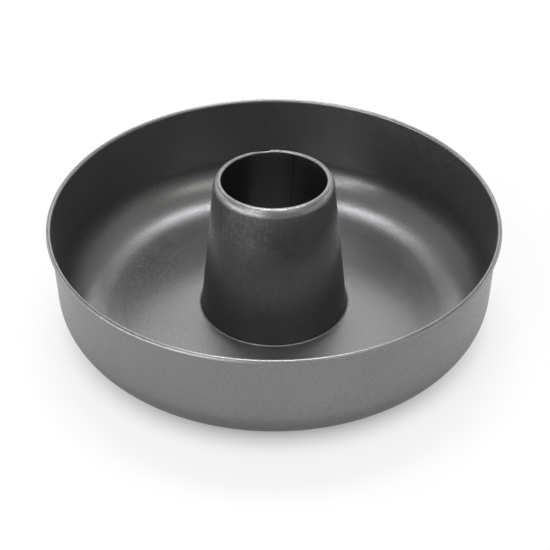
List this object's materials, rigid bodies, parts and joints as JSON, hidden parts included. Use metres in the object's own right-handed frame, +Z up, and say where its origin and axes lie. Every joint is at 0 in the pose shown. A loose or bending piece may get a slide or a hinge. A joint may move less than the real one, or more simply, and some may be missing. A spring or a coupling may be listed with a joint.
{
  "type": "savarin mould",
  "caption": "Round ring-shaped cake mould of dark coated steel with a coved wall, a rolled rim and a tall lap-seamed conical tube rising from the middle of its floor.",
  "frame": {"origin": "on the table plane, at the centre of the pan, under the tube's axis", "axes": "+Z up along the axis of the pan and the tube; +Y towards the tube's lap seam, away from the picture's viewer; +X to the viewer's right"},
  "size_m": [0.26, 0.26, 0.0911],
  "materials": {
    "pan_coating": "satin metallic-grey non-stick coating with a fine sparkle",
    "tube_coating": "satin metallic-grey non-stick coating with a fine sparkle"
  },
  "bodies": {
    "root": {"ring_pan": "pan_coating", "centre_tube": "tube_coating"}
  },
  "joints": []
}
